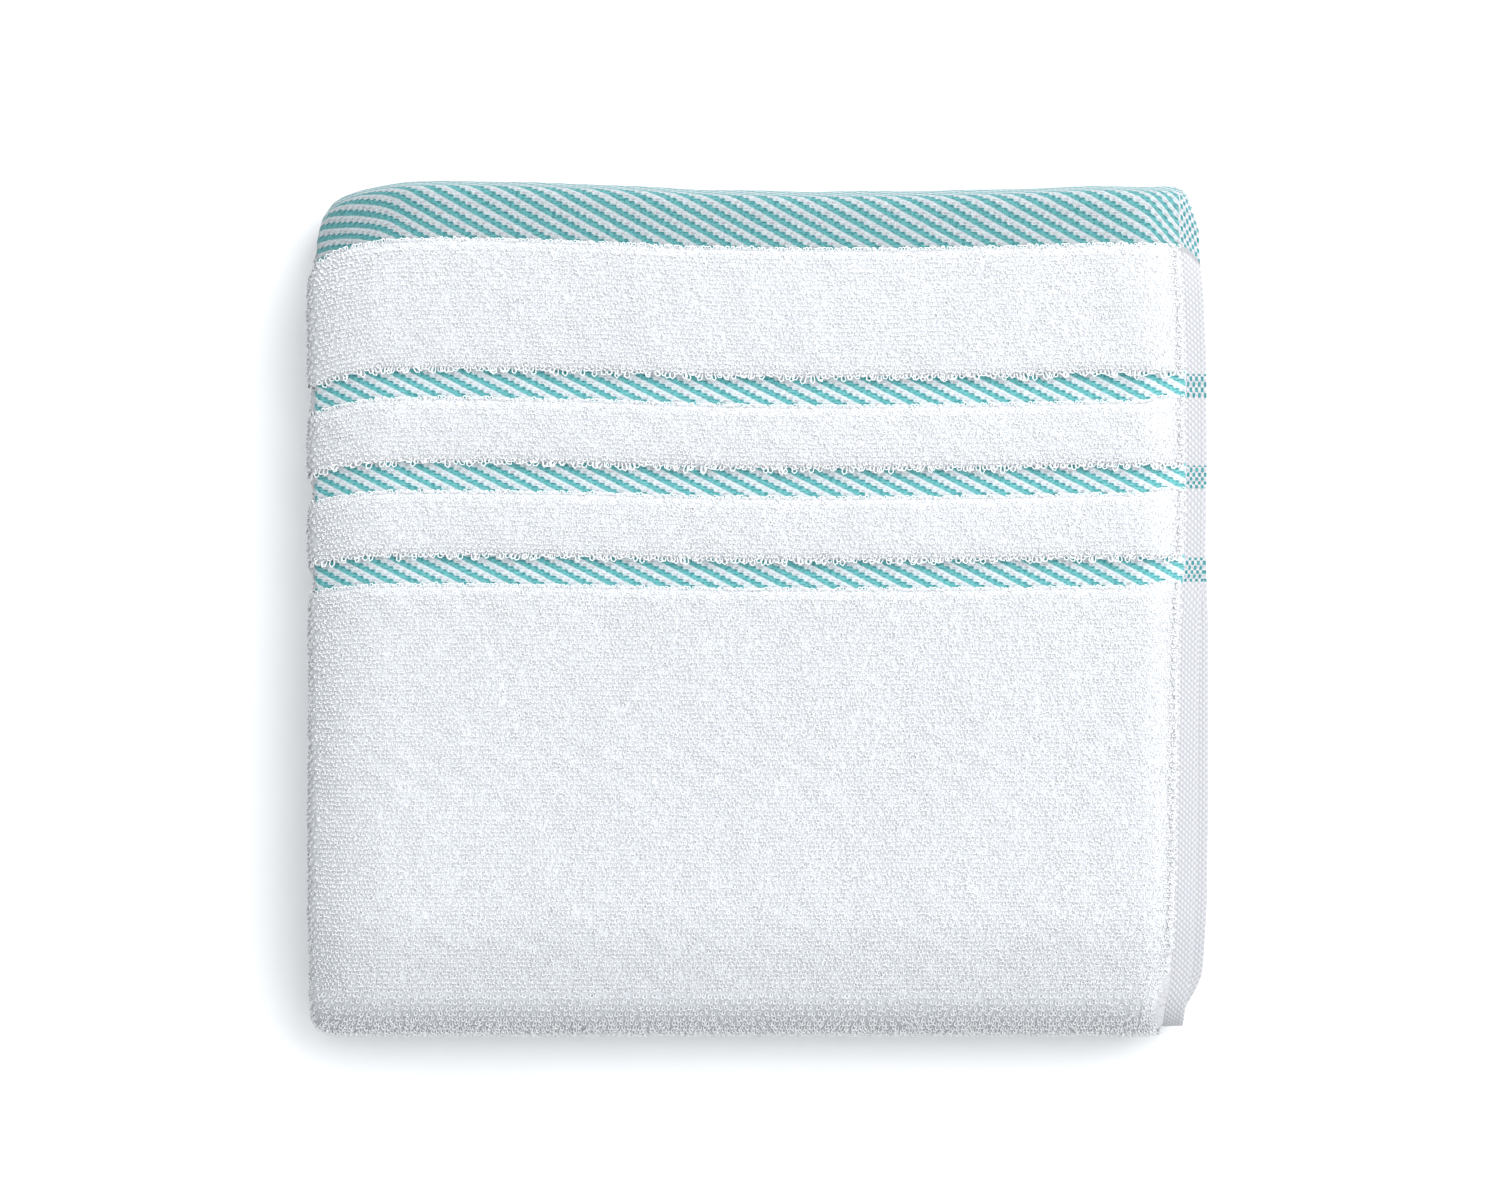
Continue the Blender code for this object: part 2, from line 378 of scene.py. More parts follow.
def settled(points):
    """The packet's slump: its rounded corners, waving back edge and edges pressed thinner.

    Each is a shift of a point by a product of two smooth steps, one across the packet and one
    along it, or of a step and a bell, exp(-t^2), at a band. Heights are only scaled, so that
    layers never cross and the shelf face stays flat.
    """
    x, y, z = (points[..., i].copy() for i in range(3))
    near_back = smooth(BACK - BACK_SLUMP[0], BACK - BACK_SLUMP[1], y)
    along = np.clip((y - FRONT) / (BACK - FRONT), 0, 1)
    left = np.clip((LEFT + LEFT_SLUMP - x) / LEFT_SLUMP, 0, 1.1)
    y = y - np.interp(x, CORNER_X, CORNER_IN) * near_back
    y = y + np.interp(x, BACK_X, BACK_OUT) * smooth(0.1, 1.0, along)
    y = y - LEFT_DRAG * left**2 * smooth(0.25, 0.85, along) * (1 - 0.75 * near_back)
    y = y - np.interp(y, CREEP_Y, CREEP)
    by_selvedge = smooth(RIGHT - SELVEDGE_SLUMP[0], RIGHT - SELVEDGE_SLUMP[1], x)
    for row, droop, lift in zip(BAND_Y, BAND_DROOP, BAND_LIFT):
        y = y - droop * left**2 * np.exp(-(((y - row) / DROOP_OVER) ** 2))
        y = y + lift * by_selvedge * np.exp(-(((y - row + LIFT_OVER) / LIFT_OVER) ** 2))
    near_front = smooth(FRONT + FRONT_SLUMP[0], FRONT + FRONT_SLUMP[1], y)
    corner = np.clip((LEFT + FRONT_CORNER - x) / FRONT_CORNER, 0, 1)
    y = y + FRONT_CORNER_IN * corner**2 * near_front
    pressed = THIN_LEFT * left**2
    pressed = pressed + THIN_RIGHT * smooth(RIGHT - SELVEDGE_SLUMP[0], RIGHT + 0.004, x)
    pressed = pressed + THIN_FRONT * smooth(FRONT + 0.050, FRONT, y)
    pressed = pressed + THIN_BACK_LEFT * smooth(LEFT + 0.05, LEFT, x) * near_back
    pressed = pressed + THIN_BACK_RIGHT * smooth(RIGHT - 0.04, RIGHT, x) * near_back
    wave = 0.018 * np.sin(21 * x + 1.3) * np.sin(17 * y + 0.4) + 0.010 * np.sin(47 * x - 31 * y)
    z = z * (1 - pressed + wave)
    # Under the packet, the last 0.6 mm is drawn up off the shelf.
    z = np.where(z < 0.0006, 0.0002 + z * 2 / 3, z)
    return np.stack([x, y, z.clip(SHELF)], axis=-1)


# ---- Materials -------------------------------------------------------------------------------


class Weave:
    """A material's nodes, written as sums."""

    def __init__(self, name, roughness, sheen=0.0):
        self.material = bpy.data.materials.new(name)
        self.material.use_nodes = True
        self.nodes = self.material.node_tree.nodes
        self.links = self.material.node_tree.links
        self.shader = self.nodes["Principled BSDF"]
        self.shader.inputs["Roughness"].default_value = roughness
        self.shader.inputs["Sheen Weight"].default_value = sheen
        self.shader.inputs["Sheen Roughness"].default_value = 0.5
        self.shader.inputs["Specular IOR Level"].default_value = 0.25

    def put(self, socket, value):
        """Links a node's output to a socket, or sets the socket to a number or colour."""
        if isinstance(value, bpy.types.NodeSocket):
            self.links.new(value, socket)
        elif value is not None:
            socket.default_value = value

    def sum(self, operation, *values):
        """One Math node."""
        node = self.nodes.new("ShaderNodeMath")
        node.operation = operation
        for socket, value in zip(node.inputs, values):
            self.put(socket, value)
        return node.outputs[0]

    def between(self, value, low, high, soft):
        """1 where the value lies between two limits, with edges this soft."""
        rise = self.step(value, low, soft)
        fall = self.step(value, high, soft)
        return self.sum("SUBTRACT", rise, fall)

    def step(self, value, at, soft):
        """0 below a limit and 1 above it."""
        over = self.sum("SUBTRACT", value, at)
        scaled = self.sum("DIVIDE", over, soft)
        shifted = self.sum("ADD", scaled, 0.5)
        shifted.node.use_clamp = True
        return shifted

    def mix(self, share, first, second):
        """Two colours, mixed: all of the first at a share of 0 and of the second at 1."""
        node = self.nodes.new("ShaderNodeMix")
        node.data_type = "RGBA"
        self.put(node.inputs[0], share)
        for socket, value in ((node.inputs[6], first), (node.inputs[7], second)):
            self.put(socket, (*value, 1) if isinstance(value, tuple) else value)
        return node.outputs[2]

    def noise(self, scale, detail=2.0, vector=None):
        """Noise on the piece's own place, or on a given vector."""
        node = self.nodes.new("ShaderNodeTexNoise")
        node.inputs["Scale"].default_value = scale
        node.inputs["Detail"].default_value = detail
        if vector is None:
            vector = self.nodes.new("ShaderNodeTexCoord").outputs["Object"]
        self.links.new(vector, node.inputs["Vector"])
        return node.outputs["Fac"]

    def cloth(self):
        """The cloth's own two directions in metres: across it and along it."""
        node = self.nodes.new("ShaderNodeUVMap")
        node.uv_map = "Cloth"
        split = self.nodes.new("ShaderNodeSeparateXYZ")
        self.links.new(node.outputs[0], split.inputs[0])
        return split.outputs[0], split.outputs[1]

    def vector(self, u, v):
        """The two directions as one place, for a texture to read."""
        node = self.nodes.new("ShaderNodeCombineXYZ")
        self.put(node.inputs[0], u)
        self.put(node.inputs[1], v)
        return node.outputs[0]

    def attribute(self, name):
        """A number that the mesh carries."""
        node = self.nodes.new("ShaderNodeAttribute")
        node.attribute_name = name
        return node.outputs["Fac"]

    def bump(self, height, distance, strength=1.0):
        """A bump of this depth in metres."""
        node = self.nodes.new("ShaderNodeBump")
        node.inputs["Strength"].default_value = strength
        node.inputs["Distance"].default_value = distance
        self.links.new(height, node.inputs["Height"])
        self.links.new(node.outputs[0], self.shader.inputs["Normal"])

    def colour(self, value):
        """Gives the cloth its colour."""
        self.put(self.shader.inputs["Base Color"], value)


def shares(yarn, *parts):
    """A yarn's colour made darker or lighter, once for each share of it."""
    return [tuple(share * part for part in yarn) for share in parts]


def pile_material(colours):
    """White cotton loops with painted shade towards their feet, and the yarn's twist as a fine
    bump.

    How far up its loop a place is comes from the mesh's tip attribute: the lower it stands, the
    more painted shade it gets, for the shade between the loops. Slow noise over the towel moves
    the change a little up or down.
    """
    weave = Weave("terry_loops", 0.92, sheen=0.35)
    broad = weave.sum("MULTIPLY_ADD", weave.noise(38.0, 3.0), 0.3, -0.15)
    tip = weave.step(weave.sum("ADD", weave.attribute("tip"), broad), 0.45, 1.0)
    # Painted shade: the shaded yarn towards each loop's foot, the white towards its top.
    weave.colour(weave.mix(tip, tuple(colours.shade), tuple(colours.white)))
    weave.bump(weave.noise(3200.0, 1.0), 0.00012, 0.5)
    return weave.material


# How light the ground is painted where the pile opens over a fold, as a share of the shaded
# yarn: painted shade, for the shade between the spread loops. And how much of that painted
# shade shows beside the lengthwise fold.
PIT_SHADE = 0.54
PIT_SHADE_BESIDE = 0.6


def ground_material(colours, rim, front):
    """The terry's ground weave and the feet of its loops, in painted shade between the loops.

    It is bare along the rim, and painted darker where the pile opens over a fold, as shade
    between the spread loops: beside the lengthwise one and round the front one, which runs from
    one distance along the cloth to another. Where its tufts lie low it is darker, also painted
    shade.
    """
    weave = Weave("terry_ground", 0.95, sheen=0.2)
    tufts = weave.noise(620.0, 2.0)
    low, high, painted_pit = shares(colours.shade, 0.85, 0.96, PIT_SHADE)
    across, along = weave.cloth()
    across = weave.sum("ABSOLUTE", across)
    bare = weave.step(across, rim - 0.0045, 0.003)
    inwards = weave.step(across, 0.008, 0.012)
    beside = weave.sum("MULTIPLY_ADD", inwards, -PIT_SHADE_BESIDE, PIT_SHADE_BESIDE)
    opened = weave.sum("MAXIMUM", beside, weave.between(along, *front, 0.016))
    # Painted shade: darker where the tufts lie low, and darker again where the pile opens.
    shaded_ground = weave.mix(weave.step(tufts, 0.5, 0.3), low, high)
    shaded_ground = weave.mix(opened, shaded_ground, painted_pit)
    weave.colour(weave.mix(bare, shaded_ground, tuple(colours.edge)))
    weave.bump(tufts, 0.0012, 0.8)
    return weave.material


def plain_weave(weave, u, v, warp, weft):
    """Height of a plain weave: the product of a wave across and a wave along."""
    across = weave.sum("SINE", weave.sum("MULTIPLY", u, 2 * np.pi / warp))
    along = weave.sum("SINE", weave.sum("MULTIPLY", v, 2 * np.pi / weft))
    return weave.sum("MULTIPLY_ADD", weave.sum("MULTIPLY", across, along), 0.5, 0.5)


# The dobby stripes' repeat across, the steps in it, how deep each row of steps is along, and one
# thread's width, in metres.
STRIPE = 0.0092
STEPS = 4
ROW = 0.00119
THREAD = 0.00058


def dobby_material(colours, name, painted_tone):
    """Slanting aqua stripes with stepped upper edges, over fine weft ribs.

    A stripe moves one step across for each row along. The row number is the whole part of v / ROW;
    a place's share of the stripe's repeat is the fractional part of (u / step - row) / STEPS. The
    stripe runs from a nearly straight lower edge to a stepped upper one. All is in proportion to
    the painted tone: the narrow bands are painted lighter, partly to make up for the shade that the
    terry rolls beside them cast, and the wide one a little darker.
    """
    weave = Weave(name, 0.72, sheen=0.15)

    def shade(yarn, share=1.0):
        """A yarn's colour in proportion to the painted tone."""
        return tuple(min(1.0, painted_tone * share * part) for part in yarn)

    # The yarns' small wanderings.
    u, v = weave.cloth()
    place = weave.vector(u, v)
    wander = weave.sum("MULTIPLY_ADD", weave.noise(240.0, 2.0, place), 0.0007, -0.00035)
    fray = weave.sum("MULTIPLY_ADD", weave.noise(1700.0, 1.0, place), 0.0011, -0.00055)
    u = weave.sum("ADD", u, weave.sum("ADD", wander, fray))
    rows = weave.sum("DIVIDE", weave.sum("ADD", v, weave.sum("MULTIPLY", fray, 0.35)), ROW)

    # The stripes.
    row = weave.sum("FLOOR", rows)
    down = weave.sum("FRACT", rows)
    steps = weave.sum("SUBTRACT", weave.sum("DIVIDE", u, STRIPE / STEPS), row)
    share = weave.sum("FRACT", weave.sum("DIVIDE", steps, STEPS))
    lower = weave.sum("MULTIPLY_ADD", down, 0.8 / STEPS, 0.01)
    upper = weave.sum("MULTIPLY_ADD", down, 0.2 / STEPS, 0.58)
    aqua = weave.sum("SUBTRACT", weave.step(share, lower, 0.06), weave.step(share, upper, 0.06))

    # The aqua yarn, which floats paler or darker at random, with painted shade at each step's
    # corner, where it turns under.
    corner = weave.sum(
        "MULTIPLY",
        weave.between(share, 0.42, 0.60, 0.08),
        weave.between(down, 0.02, 0.62, 0.3),
    )
    fibre = weave.noise(1500.0, 2.0, place)
    knit = weave.noise(1300.0, 3.0, weave.vector(weave.sum("MULTIPLY", u, 0.6), v))
    stripe = weave.mix(weave.step(knit, 0.5, 0.4), shade(colours.aqua), shade(colours.pale))
    turned = weave.sum("MULTIPLY", corner, weave.step(fibre, 0.42, 0.3))
    stripe = weave.mix(turned, stripe, shade(colours.deep))
    dark = weave.sum("MULTIPLY", weave.step(knit, 0.42, -0.12), 0.6)
    stripe = weave.mix(dark, stripe, shade(colours.deep))

    # The white yarn, with grey flecks of painted shade where it turns under.
    spot = weave.sum(
        "MULTIPLY",
        weave.between(share, 0.70, 0.90, 0.1),
        weave.between(down, 0.25, 0.80, 0.3),
    )
    spot = weave.sum("MULTIPLY", spot, weave.step(weave.noise(900.0, 1.0, place), 0.46, 0.2))
    plain = weave.mix(
        weave.step(knit, 0.5, 0.4),
        shade(colours.band_white, 0.80),
        shade(colours.band_white, 1.16),
    )
    plain = weave.mix(spot, plain, shade(colours.fleck_shade))
    weave.colour(weave.mix(aqua, plain, stripe))

    # Weft ribs, two to a row, warp threads and the stripes' own thickness.
    ribs = weave.sum("SINE", weave.sum("MULTIPLY", rows, 4 * np.pi))
    threads = weave.sum("SINE", weave.sum("MULTIPLY", u, 2 * np.pi / THREAD))
    relief = weave.sum("MULTIPLY_ADD", ribs, 0.25, weave.sum("MULTIPLY", threads, 0.25))
    relief = weave.sum("ADD", relief, weave.sum("MULTIPLY", aqua, 0.4))
    relief = weave.sum("ADD", relief, fibre)
    weave.bump(relief, 0.00020, 0.8)
    return weave.material


# One check's width and depth, and how far in from the edge the checks run, in metres.
CHECK_ACROSS = 0.00112
CHECK_ALONG = 0.0021
CHECK_WIDTH = 0.0080
# The selvedge's warp and weft repeats and its cords' spacing, and the hem's warp and weft.
EDGE_WARP, EDGE_WEFT, EDGE_CORD = 0.0024, 0.0022, 0.0013
HEM_WARP, HEM_WEFT = 0.0010, 0.0009


def selvedge_material(colours):
    """A close plain weave, checked with aqua where a band runs out through it.

    A check is aqua where the whole parts of u / across and v / along sum to an even number.
    """
    weave = Weave("selvedge_weave", 0.85, sheen=0.1)
    u, v = weave.cloth()
    cloth = plain_weave(weave, u, v, EDGE_WARP, EDGE_WEFT)
    cord = weave.sum("SINE", weave.sum("MULTIPLY", u, 2 * np.pi / EDGE_CORD))
    cloth = weave.sum("MULTIPLY_ADD", cord, 0.2, cloth)
    # Painted shade: the weave's colour darker where its threads lie low, following its bump.
    white = weave.mix(cloth, *shares(colours.edge, 0.76, 1.10))
    columns = weave.sum("DIVIDE", u, CHECK_ACROSS)
    rows = weave.sum("DIVIDE", v, CHECK_ALONG)
    pair = weave.sum("ADD", weave.sum("FLOOR", columns), weave.sum("FLOOR", rows))
    even = weave.sum("LESS_THAN", weave.sum("FRACT", weave.sum("DIVIDE", pair, 2.0)), 0.25)
    dot = weave.sum(
        "MULTIPLY",
        weave.between(weave.sum("FRACT", columns), 0.02, 0.98, 0.12),
        weave.between(weave.sum("FRACT", rows), 0.05, 0.94, 0.14),
    )
    inside = weave.sum("MULTIPLY", weave.attribute("band"), weave.step(CHECK_WIDTH, u, 0.0004))
    share = weave.sum("MULTIPLY", weave.sum("MULTIPLY", even, dot), inside)
    turned = weave.step(weave.noise(1100.0, 1.0), 0.5, 0.4)
    dark = weave.mix(turned, tuple(colours.aqua), tuple(colours.deep))
    weave.colour(weave.mix(share, white, dark))
    weave.bump(cloth, 0.00030, 0.9)
    return weave.material


def hem_material(colours):
    """Plain weave, finer than the selvedges', with painted shade where its threads lie low."""
    weave = Weave("hem_weave", 0.88, sheen=0.1)
    u, v = weave.cloth()
    cloth = plain_weave(weave, u, v, HEM_WARP, HEM_WEFT)
    # Painted shade: darker where the threads lie low, following the bump.
    weave.colour(weave.mix(cloth, *shares(colours.edge, 0.92, 1.04)))
    weave.bump(cloth, 0.00015, 0.8)
    return weave.material


def thread_material(colours):
    """Twisted sewing thread, with painted shade in the grooves of its twist."""
    weave = Weave("sewing_thread", 0.5)
    twist = weave.noise(2500.0, 1.0)
    weave.colour(weave.mix(twist, tuple(colours.shade), tuple(colours.white)))
    weave.bump(twist, 0.00006, 0.6)
    return weave.material


# ---- Meshes ----------------------------------------------------------------------------------


def new_piece(name, points, quads, uvs, material, replaced=()):
    """Puts arrays of points, quads and Cloth coordinates into a piece that rides on the frame."""
    mesh = bpy.data.meshes.new(name)
    mesh.vertices.add(len(points))
    mesh.vertices.foreach_set("co", points.astype(np.float32).ravel())
    mesh.loops.add(4 * len(quads))
    mesh.loops.foreach_set("vertex_index", quads.astype(np.int32).ravel())
    mesh.polygons.add(len(quads))
    mesh.polygons.foreach_set("loop_start", np.arange(0, 4 * len(quads), 4, dtype=np.int32))
    mesh.update(calc_edges=True)
    for layer, values in uvs.items():
        mesh.uv_layers.new(name=layer)
        mesh.uv_layers[layer].uv.foreach_set(
            "vector", values[quads.ravel()].astype(np.float32).ravel()
        )
    mesh.shade_smooth()
    mesh.materials.append(material)
    piece = bpy.data.objects.new(name, mesh)
    bpy.context.collection.objects.link(piece)
    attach(piece, "root")
    if replaced:
        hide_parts(*replaced)
    return piece


def leaf_samples(fold, rim, step):
    """Distances w from the inner leaf's rim to the outer's, closer together in the bend."""
    flat = np.linspace(fold.bend, rim, max(2, round((rim - fold.bend) / step)))
    bend = np.linspace(-fold.bend, fold.bend, 13)[1:-1]
    return np.concatenate([-flat[::-1], bend, flat])


def slab(fold, s, w, outer, inner):
    """A closed piece of cloth between two heights, each a function of s and w.

    Its skin is two grids of the same s and w, joined by a strip of quads along each of the four
    sides. Returns its points, quads and Cloth coordinates.
    """
    along, across = np.meshgrid(s, w, indexing="ij")
    count = along.size
    skins = [fold.place(along, across, height(along, across)) for height in (outer, inner)]
    points = np.concatenate([skin.reshape(-1, 3) for skin in skins])
    index = np.arange(count).reshape(along.shape)

    def quads(a, b, c, d):
        """Quads from four arrays of their corners."""
        return np.stack([a.ravel(), b.ravel(), c.ravel(), d.ravel()], axis=1)

    face = quads(index[:-1, :-1], index[1:, :-1], index[1:, 1:], index[:-1, 1:])
    rims = [
        quads(line[:-1], line[1:], line[1:] + count, line[:-1] + count)
        for line in (index[0], index[:, -1], index[-1, ::-1], index[::-1, 0])
    ]
    faces = np.concatenate([face, face[:, ::-1] + count, *rims])
    uv = np.stack([across, along], axis=-1).reshape(-1, 2)
    return points, faces, np.concatenate([uv, uv])


# How far in from each end of a stretch its turned-down edge has points of its own, in metres.
EDGE_STATIONS = np.array([0.0002, 0.0007, 0.0015])


def stations(start, end, step):
    """Evenly spaced distances along the cloth, close at both ends for the turned-down edges."""
    inside = np.linspace(start, end, max(3, round((end - start) / step) + 1))
    both = np.concatenate([inside, start + EDGE_STATIONS, end - EDGE_STATIONS])
    return np.unique(np.round(np.clip(both, start, end), 6))


def rounded(distance, radius):
    """A quarter circle's rise: 0 at the edge and 1 from this far in."""
    t = np.clip(distance / radius, 0, 1)
    return np.sqrt(1 - (1 - t) ** 2)


# How far the terry is pulled in at the front fold, how far along the cloth that is, and over what
# length, in metres.
PULLED_IN, PULLED_AT, PULLED_OVER = 0.0042, 0.338, 0.014


def terry_limit(fold, s):
    """How far across the terry reaches: its rim, less a bell, exp(-t^2), at the front fold."""
    pulled = PULLED_IN * np.exp(-(((s - PULLED_AT) / PULLED_OVER) ** 2))
    return fold.width(fold.rim_x) - pulled


# How far in the terry's ends and sides are rounded, how much its stripes are crowned and its ground
# strays, and how far its rims sink into the flat weave, in metres. A run longer than the longest
# stripe is the field, which has no crown.
END_ROUND, SIDE_ROUND = 0.0034, 0.0050
CROWN, UNEVEN, SUNK = 0.0005, 0.00022, 0.0002
LONGEST_STRIPE = 0.06


def ground_height(fold, pile, start, end):
    """The height of a run of terry's ground: level, rounded at its rims, a little uneven.

    A stripe is crowned by half a sine wave from end to end. The unevenness is a product of a wave
    along and a wave across that wanders with it.
    """
    crown = CROWN if end - start < LONGEST_STRIPE else 0.0
    low = fold.flat - SUNK

    def height(s, w):
        """The ground's height at s, w."""
        rim = rounded(np.minimum(s - start, end - s), END_ROUND)
        side = rounded(terry_limit(fold, s) - np.abs(w), SIDE_ROUND)
        swell = crown * np.sin(np.pi * np.clip((s - start) / (end - start), 0, 1))
        uneven = UNEVEN * np.sin(310 * w + 3 * np.sin(90 * s)) * np.sin(270 * s + 2)
        return low + (pile.ground + swell + uneven - low) * rim * side

    return height


def level(value):
    """The same height everywhere."""
    return lambda s, w: np.full(np.shape(s), value)


def sheet_of(fold):
    """Works out the cloth's width between its rims, and does nothing more with it."""
    across = 2 * fold.width(fold.rim_x)


def unit(vector):
    """The same directions, each one long."""
    return vector / np.maximum(np.linalg.norm(vector, axis=-1, keepdims=True), 1e-12)


def yarn_rings(core, up, yarn, sides=3):
    """Closed rings of yarn along many short closed paths at once.

    At each point of a path, a ring of this many sides stands square to the path, its first corner
    towards up, and the last ring joins the first. Returns the points, the quads and each corner's
    direction out of the yarn.
    """
    count, rings = core.shape[:2]
    run = unit(np.roll(core, -1, axis=1) - np.roll(core, 1, axis=1))
    first = unit(np.cross(run, up[:, None]))
    second = np.cross(first, run)
    spin = np.linspace(0, 2 * np.pi, sides, endpoint=False) + np.pi / 2
    tube = np.cos(spin)[:, None] * first[:, :, None] + np.sin(spin)[:, None] * second[:, :, None]
    points = core[:, :, None] + yarn / 2 * tube
    ring = np.arange(rings)[:, None] * sides
    after = (ring + sides) % (rings * sides)
    a, b = np.arange(sides), (np.arange(sides) + 1) % sides
    one = np.stack([ring + a, after + a, after + b, ring + b], axis=-1)
    quads = np.arange(count)[:, None, None] * rings * sides + one.reshape(1, -1, 4)
    return points.reshape(-1, 3), quads.reshape(-1, 4), tube


# How many rings of corners a loop's yarn has along it.
RINGS_IN_A_LOOP = 6
# How far the light sees a loop's fibres as one soft surface, from 0, bare yarn, to 1, the cloth:
# on the packet's sides, and on its top, where the pile is pressed flat.
SIDE_FUZZ = 0.40
TOP_FUZZ = 0.97
# How much the loops' directions stray from one to the next, as an angle, and their sizes' limits.
STRAY = 0.4
SMALLEST, LARGEST = 0.85, 1.15
# How deep a loop's foot stands in the ground, and how far one leg is held above the other.
FOOT_DEPTH, LEG_LIFT = 0.0004, 0.00028
# How much flatter the loops lie in the lengthwise bend, as a share, and over what width.
BEND_DRAW, BEND_OVER = 0.5, 0.006
# How much more of its rise two corners of a loop's yarn count, and how much less the third, and
# what is taken off them all: painted light on two sides of the yarn, painted shade on the third,
# and deeper painted shade everywhere.
TIP_SIDE, TIP_FOOT = 0.2, 0.35


def loops_at(fold, s, w, height, pile, rng, lean=0.0, long=1.0):
    """Pile loops with their feet at s, w on the ground.

    Each loop is a ring of yarn that starts and ends at its foot. With f from 0 to a full turn, it
    swings sideways by sin f, narrower near the foot, reaches along the cloth by (1 - cos f) / 2
    and rises by a power of sin (f / 2), with one leg held above the other. The yarn is a
    three-sided tube. The loops point along the cloth, turned by lean. Where long is over 1, they
    are wider, and each reaches 1 to 2 long - 1 times as far.

    Returns the points, the quads, their Cloth coordinates with the yarn opened out, their normals
    and each point's tip: the share of its loop's rise at which it stands, which sets how much
    painted shade the material gives it.
    """
    count = len(s)
    foot = height(s, w) - FOOT_DEPTH
    tiny = 1e-4
    here = fold.place(s, w, foot)
    along = unit(fold.place(s + tiny, w, foot) - fold.place(s - tiny, w, foot))
    up = unit(fold.place(s, w, foot + tiny) - here)
    up = unit(up - along * (up * along).sum(-1, keepdims=True))
    side = np.cross(along, up)
    turn = lean + rng.normal(0, STRAY, count)
    turn = turn + 0.25 * np.sin(95 * w + 40 * s) + 0.20 * np.sin(60 * s - 130 * w + 1.0)
    ahead = np.cos(turn)[:, None] * along + np.sin(turn)[:, None] * side
    aside = np.cross(ahead, up)

    f = np.linspace(0, 2 * np.pi, RINGS_IN_A_LOOP, endpoint=False)
    vary = rng.uniform(SMALLEST, LARGEST, (4, count, 1))
    swing = pile.loop_width / 2 * (0.65 + 0.5 * long) * vary[0]
    swing = swing * np.sin(f) * (0.45 + 0.55 * np.sin(f / 2) ** 2)
    ragged = 1 + (long - 1) * rng.uniform(0.0, 2.0, (count, 1))
    reach = pile.reach * ragged * vary[1] * (1 - np.cos(f)) / 2
    drawn = 1 - BEND_DRAW * np.exp(-((w / BEND_OVER) ** 2))[:, None]
    rise = (pile.rise * drawn * vary[2] + FOOT_DEPTH) * np.sin(f / 2) ** 0.7
    rise = rise + LEG_LIFT * drawn * np.sin(f) * np.sign(vary[3] - 1)
    core = (
        here[:, None]
        + swing[..., None] * aside[:, None]
        + reach[..., None] * ahead[:, None]
        + rise[..., None] * up[:, None]
    )
    points, quads, out = yarn_rings(core, unit(up + 0.2 * ahead), pile.yarn)
    fuzz = SIDE_FUZZ + (TOP_FUZZ - SIDE_FUZZ) * smooth(0.5, 0.98, up[:, 2]) / long**0.5
    fuzz = fuzz[:, None, None, None]
    facing = unit(fuzz * up[:, None, None] + (1 - fuzz) * out)
    shift = pile.yarn * np.cos(np.linspace(0, 2 * np.pi, 3, endpoint=False) + np.pi / 2)
    uv = np.stack(
        [
            w[:, None, None] + swing[..., None] + 0.7 * shift,
            s[:, None, None] + reach[..., None] + 0.5 * np.abs(swing[..., None]) + 0.3 * shift,
        ],
        axis=-1,
    )
    # Painted shade: a low tip darkens the loop at its foot and on one side of its yarn.
    tip = np.broadcast_to((rise / pile.rise)[..., None], core.shape[:2] + (3,)) - TIP_FOOT
    tip = tip + np.where(shift > 0, TIP_SIDE, -TIP_SIDE)
    return points, quads, uv.reshape(-1, 2), facing.reshape(-1, 3), tip.ravel()


# How far a loop's foot strays from its place in the rows, as a share of the spacing.
ASTRAY = 0.2


def scattered(rng, s_range, w_range, spacing):
    """Feet of loops in offset rows, each a little out of its place."""
    rows = max(1, round((s_range[1] - s_range[0]) / spacing))
    columns = max(1, round((w_range[1] - w_range[0]) / spacing))
    row, column = np.meshgrid(np.arange(rows), np.arange(columns), indexing="ij")
    s = (row + 0.5 + rng.uniform(-ASTRAY, ASTRAY, row.shape)) / rows
    w = (column + 0.25 + 0.5 * (row % 2) + rng.uniform(-ASTRAY, ASTRAY, row.shape)) / columns
    s = s_range[0] + s * (s_range[1] - s_range[0])
    w = w_range[0] + w * (w_range[1] - w_range[0])
    return s.ravel(), w.ravel()


# The margin left round a piece's coordinates in their unit square.
MARGIN = 0.01


def square(uv):
    """The same coordinates, fitted into a unit square with a narrow margin."""
    low, high = uv.min(0), uv.max(0)
    return MARGIN + (1 - 2 * MARGIN) * (uv - low) / (high - low)


# A piece of this many loops stays under 200,000 triangles.
MOST_LOOPS = 5200
# How far inside the terry's limit the last foot of a loop may stand, in metres.
LAST_FOOT = 0.0002


